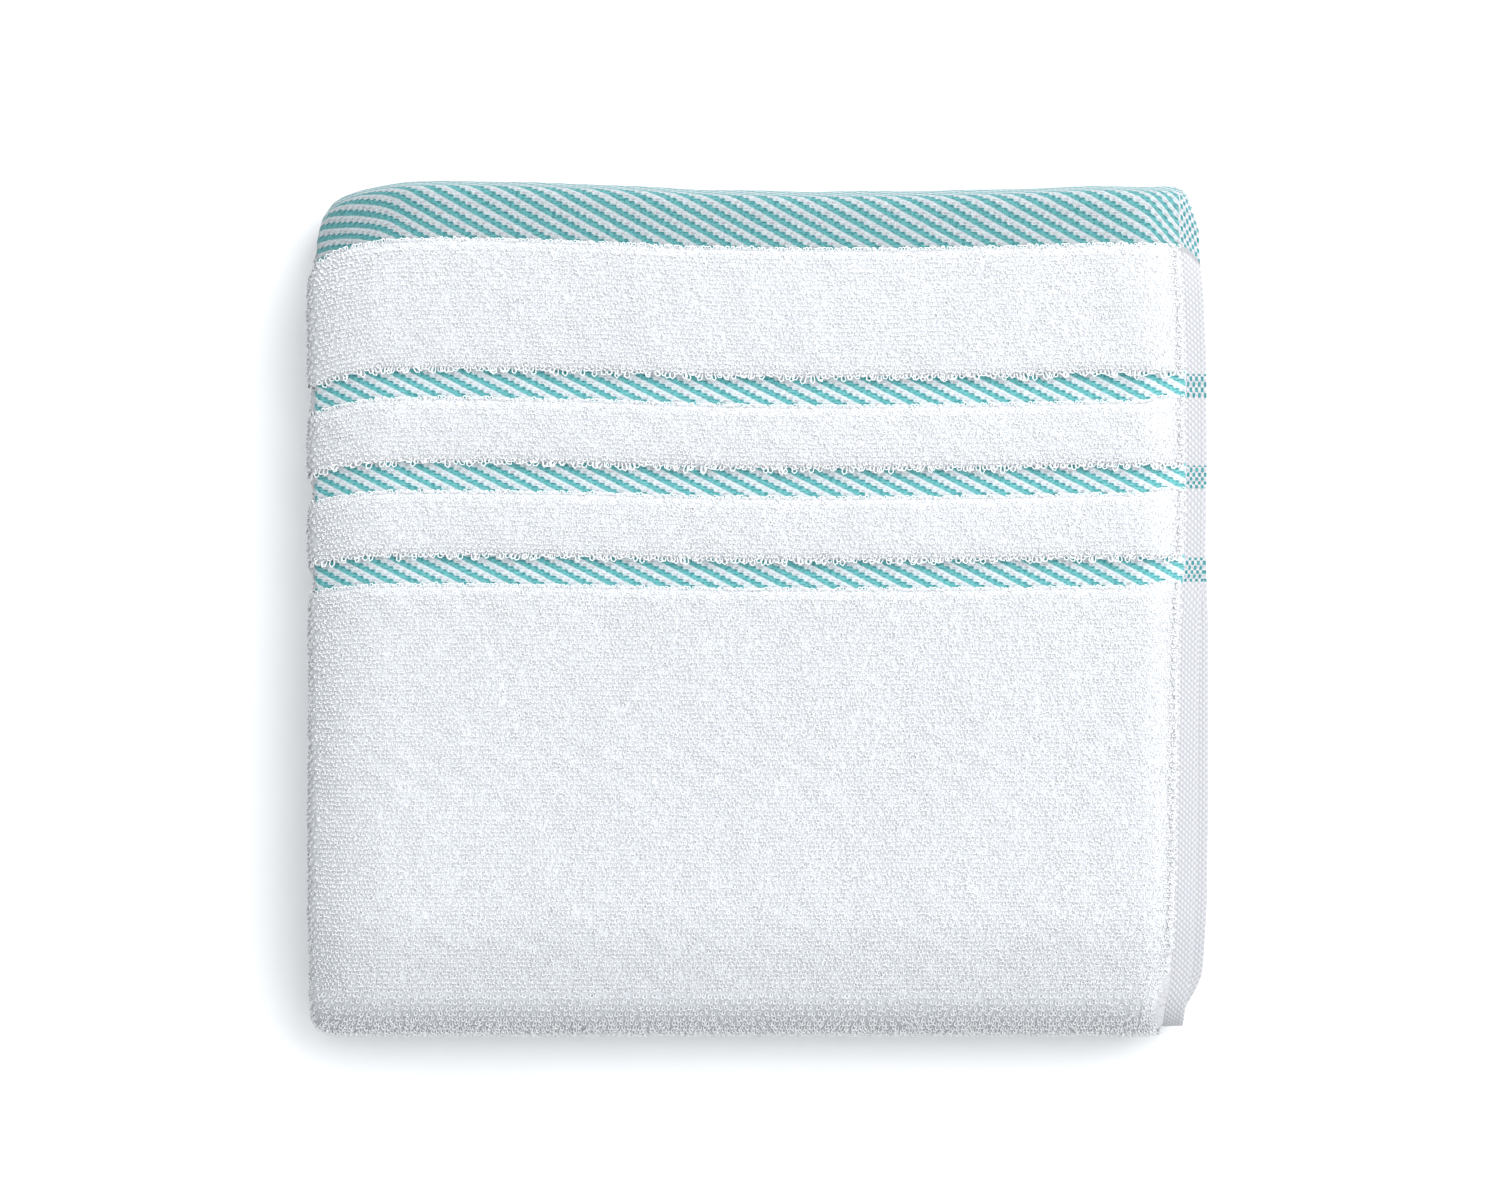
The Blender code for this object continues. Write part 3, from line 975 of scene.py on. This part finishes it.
def add_pile(fold, pile, name, patches, height, material):
    """One stretch's loops, as pieces of at most MOST_LOOPS loops.

    Each patch is an area of the stretch: its range of s, its range of w, its spacing, the angle
    that its loops lean at, from straight along the cloth towards its side, and how long they are.
    The mesh keeps each point's tip, how far up its loop it is, for the material to paint shade by.
    """
    rng = np.random.default_rng(pile.seed + sum(map(ord, name)))
    points, quads, uv, facing, tips, count = [], [], [], [], [], 0
    for s_range, w_range, spacing, lean, long in patches:
        s, w = scattered(rng, s_range, w_range, spacing)
        kept = np.abs(w) < terry_limit(fold, s) - LAST_FOOT
        s, w = s[kept], w[kept]
        some, faces, spots, out, tip = loops_at(fold, s, w, height, pile, rng, lean, long)
        points.append(some)
        quads.append(faces + count)
        uv.append(spots)
        facing.append(out)
        tips.append(tip)
        count += len(some)
    points, quads, uv, facing, tips = map(np.concatenate, (points, quads, uv, facing, tips))
    points[:, 2] = np.maximum(points[:, 2], SHELF)
    loops = quads.reshape(-1, 3 * RINGS_IN_A_LOOP * 4)
    lots = np.array_split(loops, int(np.ceil(len(loops) / MOST_LOOPS)))
    pieces = []
    for number, lot in enumerate(lots, 1):
        used, index = np.unique(lot, return_inverse=True)
        title = name if len(lots) == 1 else f"{name}_{number}"
        flat = {"OFBake": square(uv[used])}
        piece = new_piece(title, points[used], index.reshape(-1, 4), flat, material)
        mark = piece.data.attributes.new("tip", "FLOAT", "POINT")
        mark.data.foreach_set("value", tips[used].astype(np.float32))
        piece.data.normals_split_custom_set_from_vertices(facing[used].tolist())
        pieces.append(piece)
    return pieces


# ---- The pieces ------------------------------------------------------------------------------


def border_stretches(cloth):
    """Each stretch of an end's border and how deep it lies, from the cut end."""
    depths = [
        ("hem", cloth.hem_depth),
        ("wide_band", cloth.wide_band),
        ("wide_terry_stripe", cloth.wide_terry),
        ("narrow_band_1", cloth.narrow_band),
        ("narrow_terry_stripe_1", cloth.narrow_terry),
        ("narrow_band_2", cloth.narrow_band),
        ("narrow_terry_stripe_2", cloth.narrow_terry),
        ("narrow_band_3", cloth.narrow_band),
    ]
    places, depth = {}, 0.0
    for name, size in depths:
        places[name] = (depth, depth + size)
        depth += size
    return places


def stretches(cloth, *words):
    """The named stretches of both ends, as (name, start, end) along the cloth."""
    found = []
    for name, (near, far) in border_stretches(cloth).items():
        if any(word in name for word in words):
            found.append((f"display_{name}", near, far))
            last = cloth.cloth_length
            found.append((f"tucked_{name}", last - far, last - near))
    return found


def field_stretches(fold):
    """The plain terry between the borders, by layer and fold."""
    edge = border_stretches(fold.cloth)["narrow_band_3"][1]
    names = [
        "field_top",
        "field_front_outer_fold",
        "field_bottom",
        "field_back_fold",
        "field_lower_middle",
        "field_front_inner_fold",
        "field_upper_middle",
    ]
    limits = np.clip(fold.starts[2:], edge, fold.cloth.cloth_length - edge)
    return list(zip(names, limits[:-1], limits[1:]))


def on_show(name):
    """Whether a stretch is one that is looked at, and so is made finer."""
    return name.startswith(("display", "field_top", "field_front_outer"))


def terry_stretches(fold):
    """Every stretch of terry, in the borders and between them."""
    return stretches(fold.cloth, "terry") + field_stretches(fold)


# How far on either side of the lengthwise bend's middle the loops go on.
BEND_SHOWN = 0.010
# How far the loops keep from the two ends of a run of terry, and from its rims, in metres.
CLEAR_START, CLEAR_END, CLEAR_RIM = 0.0006, 0.0012, 0.0006
# The loops along the rims, on show and hidden: how near a rim they stand, how far in they go, how
# they lean and how long they are.
SHOWN_RIM = (0.0004, 0.0026, 1.4, 1.3)
HIDDEN_RIM = (0.0004, 0.0024, 1.1, 1.2)
# The loops at the two ends of a run on show: how near its end they stand, how far in they go, how
# their spacing compares with the pile's own, how they lean and how long they are.
AT_START = (0.0004, 0.0013, 0.8, np.pi, 1.3)
AT_END = (0.0005, 0.0017, 0.85, 0.0, 2.3)
# How the spacing of the opened loops at the front fold compares, how long they are, and how long
# the loops under the packet are.
OPENED_SPACING, OPENED_LONG, UNDER_LONG = 1.2, 1.35, 1.2


def pile_patches(fold, pile, name, start, end):
    """Where a stretch carries loops: its outer face if that shows, its bend and its rims.

    Loops along a rim lean out over the selvedge. Those at the ends of a stripe on show lean over
    the bands, and the ones that hang over a band's back edge are the longest. At the front fold
    the pile opens, so its loops are wider and stand further apart.
    """
    rim = fold.width(fold.rim_x)
    last = fold.cloth.cloth_length
    edge = border_stretches(fold.cloth)["narrow_band_3"][1]
    starts_run = not name.startswith("field") or abs(start - edge) < 1e-6
    ends_run = not name.startswith("field") or abs(end - last + edge) < 1e-6
    run = (start + CLEAR_START * starts_run, end - CLEAR_END * ends_run)
    patches = []
    if on_show(name):
        shown, whole = (-BEND_SHOWN, rim - CLEAR_RIM), (-BEND_SHOWN, rim)
        spacing = pile.spacing
        if name.startswith("field_front_outer"):
            patches.append((run, shown, spacing * OPENED_SPACING, 0.0, OPENED_LONG))
        else:
            patches.append((run, shown, spacing, 0.0, 1.0))
        near, far, lean, long = SHOWN_RIM
        patches.append((run, (rim - far, rim - near), spacing, -lean, long))
        if starts_run:
            near, far, closer, lean, long = AT_START
            patches.append(((start + near, start + far), whole, spacing * closer, lean, long))
        if name.startswith("display"):
            near, far, closer, lean, long = AT_END
            patches.append(((end - far, end - near), whole, spacing * closer, lean, long))
    else:
        near, far, lean, long = HIDDEN_RIM
        patches.append((run, (-BEND_SHOWN, BEND_SHOWN), pile.side_spacing, 0.0, 1.0))
        patches.append((run, (rim - far, rim - near), pile.side_spacing, -lean, long))
        if name == "field_bottom":
            below = (BEND_SHOWN, rim - CLEAR_RIM)
            patches.append((run, below, pile.under_spacing, 0.0, UNDER_LONG))
    near, far, lean, long = HIDDEN_RIM
    patches.append((run, (near - rim, far - rim), pile.side_spacing, lean, long))
    return patches


# How far a stretch of ground runs on under the next piece, and how finely it is divided along and
# across, on show and hidden, in metres.
RUN_ON = 0.0002
TERRY_FINE, TERRY_COARSE = (0.0028, 0.004), (0.006, 0.008)
# How far round the front fold the pile begins to open.
OPENS_AT = 0.006


class TOWEL_OT_terry(Operator):
    """Adds the terry: each stretch's ground weave and the loops that stand on it"""

    bl_idname = "towel.terry"
    bl_label = "Terry"

    def execute(self, context):
        scene = context.scene
        fold, pile = Fold(scene.towel_cloth), scene.towel_pile
        rim = fold.width(fold.rim_x)
        front = fold.starts[3] + OPENS_AT, fold.starts[4]
        ground = ground_material(scene.towel_colours, rim, front)
        loops = pile_material(scene.towel_colours)
        edge = border_stretches(scene.towel_cloth)["narrow_band_3"][1]
        for name, start, end in terry_stretches(fold):
            step_s, step_w = TERRY_FINE if on_show(name) else TERRY_COARSE
            run = (start, end)
            if name.startswith("field"):
                run = (edge, scene.towel_cloth.cloth_length - edge)
            height = ground_height(fold, pile, *run)
            s = stations(start - RUN_ON, end + RUN_ON, step_s)
            w = leaf_samples(fold, rim, step_w)
            points, quads, uv = slab(fold, s, w, height, level(FACE_GAP / 2))
            base = new_piece(
                f"{name}_ground", points, quads, {"Cloth": uv}, ground, (name,)
            )
            patches = pile_patches(fold, pile, name, start, end)
            tufts = add_pile(fold, pile, f"{name}_pile", patches, height, loops)
            sheet_of(fold)
        return {"FINISHED"}


# The wide band's rows: how many more there are than its width gives, how far down the back they
# begin to turn, and how closely they then lie.
CREPT = 1.22
OVER_THE_BACK = 0.005
EASED = 0.92


def wide_rows(fold, s, w, start, end):
    """How far along its own weave a place of the wide band on show lies.

    Up to the back edge it is the way back from the band's front edge, and beyond it the drop is
    added, so that the rows of the weave lie straight in the packet where its corners draw in.
    """
    steepest = fold.starts[2] - fold.cloth.drape_radius * np.pi / 2
    middle = fold.width(0.0)
    edge = fold.laid(end, middle, fold.flat)[..., 1]
    back = fold.place(np.maximum(s, steepest), w, fold.flat)[..., 1]
    drop = TOP - OVER_THE_BACK - fold.place(s, w, fold.flat)[..., 2]
    return CREPT * (end - start) + EASED * (edge - back - np.maximum(drop, 0))


# How far the flat weaves run on under the selvedges, and under the terry at each end.
UNDER_EDGE, UNDER_TERRY = 0.0004, 0.0008
# How finely a band is divided along and across, on show and hidden, in metres.
BAND_FINE, BAND_COARSE = (0.0018, 0.004), (0.004, 0.01)
# How light the wide band's yarns are painted, and the narrow bands', as shares of their colours:
# partly painted light on the narrow bands, against the shade of the terry rolls beside them.
WIDE_PAINTED_TONE, NARROW_PAINTED_TONE = 0.86, 1.20


class TOWEL_OT_bands(Operator):
    """Adds the flat dobby bands of both ends"""

    bl_idname = "towel.bands"
    bl_label = "Dobby bands"

    def execute(self, context):
        scene = context.scene
        fold = Fold(scene.towel_cloth)
        wide = dobby_material(scene.towel_colours, "dobby_wide_band", WIDE_PAINTED_TONE)
        narrow = dobby_material(scene.towel_colours, "dobby_narrow_band", NARROW_PAINTED_TONE)
        rim = fold.width(fold.rim_x + UNDER_EDGE)

        def height(s, w):
            """The band's height: level, with faint waves both ways."""
            return fold.flat + 0.0001 + 0.00012 * np.sin(150 * w + 1) * np.sin(420 * s)

        for name, start, end in stretches(scene.towel_cloth, "_band"):
            fine = on_show(name)
            step_s, step_w = BAND_FINE if fine else BAND_COARSE
            s = stations(start - UNDER_TERRY, end + UNDER_TERRY, step_s)
            w = leaf_samples(fold, rim, step_w)
            points, quads, uv = slab(fold, s, w, height, level(FACE_GAP / 2))
            across, along = uv.T
            if fine and "wide" in name:
                run = wide_rows(fold, along, across, start, end)
            else:
                run = along - start + fine * fold.slip(along, across, fold.flat)
            uv = np.stack([across, run], axis=1)
            dobby = wide if "wide" in name else narrow
            piece = new_piece(
                f"{name}_weave", points, quads, {"Cloth": uv}, dobby, (name,)
            )
            sheet_of(fold)
        return {"FINISHED"}


# The lockstitches: from one to the next, half of one's length and its rise, their thread, and how
# far they are from the hem's inner edge, in metres.
STITCH_PITCH, STITCH_HALF, STITCH_RISE, THREAD_ROUND = 0.0030, 0.00125, 0.0004, 0.00045
STITCHES_IN = 0.0024


class TOWEL_OT_hems(Operator):
    """Adds both ends' turned-under hems and their lockstitches"""

    bl_idname = "towel.hems"
    bl_label = "Hems"

    def execute(self, context):
        scene = context.scene
        cloth = scene.towel_cloth
        fold = Fold(cloth)
        weave = hem_material(scene.towel_colours)
        thread = thread_material(scene.towel_colours)
        rim = fold.width(fold.rim_x + UNDER_EDGE)
        thick = FACE_GAP / 2 + cloth.hem_leaf

        for name, start, end in stretches(cloth, "hem"):
            inner_edge = end if name.startswith("display") else start

            def height(s, w, start=start, end=end):
                """The hem's height: level, a little lower at its two edges."""
                edge = rounded(np.minimum(s - start, end - s) + 0.0004, 0.0012)
                return thick - 0.0006 * (1 - edge) + 0.00012 * np.sin(240 * w)

            s = stations(start, end, 0.0016)
            w = leaf_samples(fold, rim, 0.005)
            points, quads, uv = slab(fold, s, w, height, level(FACE_GAP / 2))
            piece = new_piece(
                f"{name}_weave", points, quads, {"Cloth": uv}, weave, (name,)
            )
            inwards = 1 if name.startswith("display") else -1
            row = inner_edge - inwards * STITCHES_IN
            seam = self.stitches(fold, f"{name}_lockstitch", row, thick, rim, thread)
            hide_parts(f"{name}_stitching")
            sheet_of(fold)
        return {"FINISHED"}

    def stitches(self, fold, name, row, thick, rim, material):
        """A row of stitches along w, each a ring of thread: over the cloth and back under it.

        With t round the ring, a stitch runs across by -cos t and rises by sin t.
        """
        w = np.arange(0.003 - rim, rim - 0.002, STITCH_PITCH)
        t = np.linspace(0, 2 * np.pi, 8, endpoint=False)
        across = w[:, None] - STITCH_HALF * np.cos(t)
        rise = thick - STITCH_RISE / 2 + STITCH_RISE * np.sin(t) + np.zeros_like(across)
        core = fold.place(np.full_like(across, row), across, rise)
        lifted = fold.place(np.full_like(w, row), w, np.full_like(w, thick + 0.001))
        up = unit(lifted - fold.place(np.full_like(w, row), w, np.full_like(w, thick)))
        ahead = unit(np.cross(up, core[:, 4] - core[:, 0]))
        points, quads, _ = yarn_rings(core, ahead, THREAD_ROUND, sides=4)
        return new_piece(name, points, quads, {}, material)


class TOWEL_OT_selvedges(Operator):
    """Adds the woven edge of each leaf, checked where the bands run out"""

    bl_idname = "towel.selvedges"
    bl_label = "Selvedges"

    def execute(self, context):
        scene = context.scene
        cloth = scene.towel_cloth
        fold = Fold(cloth)
        weave = selvedge_material(scene.towel_colours)
        bands = np.array([(start, end) for _, start, end in stretches(cloth, "_band")])
        wide = border_stretches(cloth)["wide_band"]
        near, far = fold.width(fold.rim_x - 0.0024), fold.width(RIGHT)
        rim = fold.width(fold.rim_x)

        def height(s, w):
            """The selvedge's height: waving along it, and sunk where it runs under the terry."""
            sunk = 0.0004 * smooth(rim + 0.0010, rim - 0.0002, np.abs(w))
            return fold.flat - sunk + 0.00010 * np.sin(130 * s + 2) + 0.00006 * np.sin(410 * s)

        even = np.arange(0, cloth.cloth_length, 0.0035)
        sharp = (bands.ravel()[:, None] + np.array([-0.00005, 0.00005])).ravel()
        s = np.unique(np.concatenate([even, sharp, [cloth.cloth_length]]))
        for name, w in (
            ("outer_leaf_selvedge", np.linspace(near, far, 7)),
            ("inner_leaf_selvedge", np.linspace(-far, -near, 7)),
        ):
            points, quads, uv = slab(fold, s, w, height, level(FACE_GAP / 2))
            along = uv[:, 1]
            inside = ((along[:, None] > bands[:, 0]) & (along[:, None] < bands[:, 1])).any(1)
            run = along + smooth(0.13, 0.11, along) * fold.slip(along, uv[:, 0], fold.flat)
            turned = wide_rows(fold, along, uv[:, 0], *wide)
            run = np.where(along < wide[1] + 0.002, turned, run)
            uv = np.stack([far - np.abs(uv[:, 0]), run], axis=1)
            piece = new_piece(
                f"{name}_weave", points, quads, {"Cloth": uv}, weave, (name,)
            )
            mark = piece.data.attributes.new("band", "FLOAT", "POINT")
            mark.data.foreach_set("value", inside.astype(np.float32))
        return {"FINISHED"}


# Where the room is brightest, and where the key light hangs.
TOWARDS = (0.60, 0.45, 0.66)
KEY_PLACE = (0.85, 0.75, 0.95)
# Where the view is centred, across and along the packet, as shares of the view's width.
VIEW_ACROSS, VIEW_ALONG = -5.5 / 1500, 18.5 / 1500


class TOWEL_OT_stage(Operator):
    """Adds the pale floor, the soft lights and the camera that looks straight down"""

    bl_idname = "towel.stage"
    bl_label = "Stage"

    def execute(self, context):
        scene = context.scene
        stage = scene.towel_stage
        self.add_floor(stage)
        self.add_lights(scene, stage)
        self.add_camera(scene, stage)
        scene.view_settings.view_transform = "Standard"
        return {"FINISHED"}

    def add_floor(self, stage):
        """A wide grid, level with the shelf."""
        line = np.linspace(-3, 3, 13)
        x, y = np.meshgrid(line, line, indexing="ij")
        points = np.stack([x, y, np.zeros_like(x)], axis=-1).reshape(-1, 3)
        index = np.arange(x.size).reshape(x.shape)
        corners = (index[:-1, :-1], index[1:, :-1], index[1:, 1:], index[:-1, 1:])
        quads = np.stack([corner.ravel() for corner in corners], axis=1)
        mesh = bpy.data.meshes.new("floor")
        mesh.from_pydata(points, [], quads.tolist())
        weave = Weave("floor_white", 0.9)
        weave.colour((*stage.floor_white, 1))
        mesh.materials.append(weave.material)
        floor = bpy.data.objects.new("floor", mesh)
        bpy.context.collection.objects.link(floor)

    def add_lights(self, scene, stage):
        """A bright room, brighter towards the back right, and one broad soft light from there.

        The room's light in a direction d is sky times (1 + slope times the dot product of d and
        TOWARDS).
        """
        world = bpy.data.worlds.new("room")
        world.use_nodes = True
        nodes, links = world.node_tree.nodes, world.node_tree.links
        sky = nodes["Background"]
        sky.inputs["Color"].default_value = (0.945, 0.973, 1, 1)
        place = nodes.new("ShaderNodeTexCoord")
        product = nodes.new("ShaderNodeVectorMath")
        product.operation = "DOT_PRODUCT"
        product.inputs[1].default_value = TOWARDS
        links.new(place.outputs["Generated"], product.inputs[0])
        strength = nodes.new("ShaderNodeMath")
        strength.operation = "MULTIPLY_ADD"
        strength.inputs[1].default_value = stage.sky * stage.slope
        strength.inputs[2].default_value = stage.sky
        links.new(product.outputs["Value"], strength.inputs[0])
        links.new(strength.outputs[0], sky.inputs["Strength"])
        scene.world = world
        light = bpy.data.lights.new("key", "AREA")
        light.size, light.energy, light.color = 1.5, stage.key, (1, 0.992, 0.985)
        lamp = bpy.data.objects.new("key", light)
        lamp.location = KEY_PLACE
        lamp.rotation_euler = aim(lamp.location)
        bpy.context.collection.objects.link(lamp)

    def add_camera(self, scene, stage):
        """A long lens straight above the packet."""
        camera = bpy.data.cameras.new("camera")
        camera.lens, camera.sensor_width = stage.lens, 36.0
        view = bpy.data.objects.new("camera", camera)
        view.location = (
            VIEW_ACROSS * stage.view_width,
            VIEW_ALONG * stage.view_width,
            TOP + stage.view_width * stage.lens / camera.sensor_width,
        )
        bpy.context.collection.objects.link(view)
        scene.camera = view


def aim(place):
    """The turn that points a lamp at the middle of the packet: its tilt, then its heading."""
    x, y, z = (-np.array(place) + np.array([0, 0, TOP / 2])).tolist()
    return (np.arctan2(np.hypot(x, y), -z), 0, np.arctan2(y, x) - np.pi / 2)


class TOWEL_PT_panel(Panel):
    """The towel's sizes, colours and pieces"""

    bl_idname = "TOWEL_PT_panel"
    bl_label = "Folded Bath Towel"
    bl_space_type = "VIEW_3D"
    bl_region_type = "UI"
    bl_category = "Towel"

    def draw(self, context):
        """A button for each group of pieces, then a box for each group of settings."""
        layout = self.layout
        for operator in OPERATORS:
            layout.operator(operator.bl_idname)
        for title, group in GROUPS.items():
            box = layout.box()
            box.label(text=group.__doc__)
            settings = getattr(context.scene, title)
            for name in group.__annotations__:
                box.prop(settings, name)


OPERATORS = (TOWEL_OT_terry, TOWEL_OT_bands, TOWEL_OT_hems, TOWEL_OT_selvedges, TOWEL_OT_stage)
GROUPS = {
    "towel_cloth": TowelCloth,
    "towel_pile": TowelPile,
    "towel_colours": TowelColours,
    "towel_stage": TowelStage,
}


def register():
    """Registers the classes and hangs each group of settings on the scene."""
    for kind in (*GROUPS.values(), *OPERATORS, TOWEL_PT_panel):
        bpy.utils.register_class(kind)
    for title, group in GROUPS.items():
        setattr(bpy.types.Scene, title, PointerProperty(type=group))


def unregister():
    """Undoes what register did."""
    for title in GROUPS:
        delattr(bpy.types.Scene, title)
    for kind in reversed((*GROUPS.values(), *OPERATORS, TOWEL_PT_panel)):
        bpy.utils.unregister_class(kind)


def main():
    """Builds the towel and its stage."""
    register()
    bpy.ops.towel.terry()
    bpy.ops.towel.bands()
    bpy.ops.towel.hems()
    bpy.ops.towel.selvedges()
    bpy.ops.towel.stage()


if __name__ == "__main__":
    main()
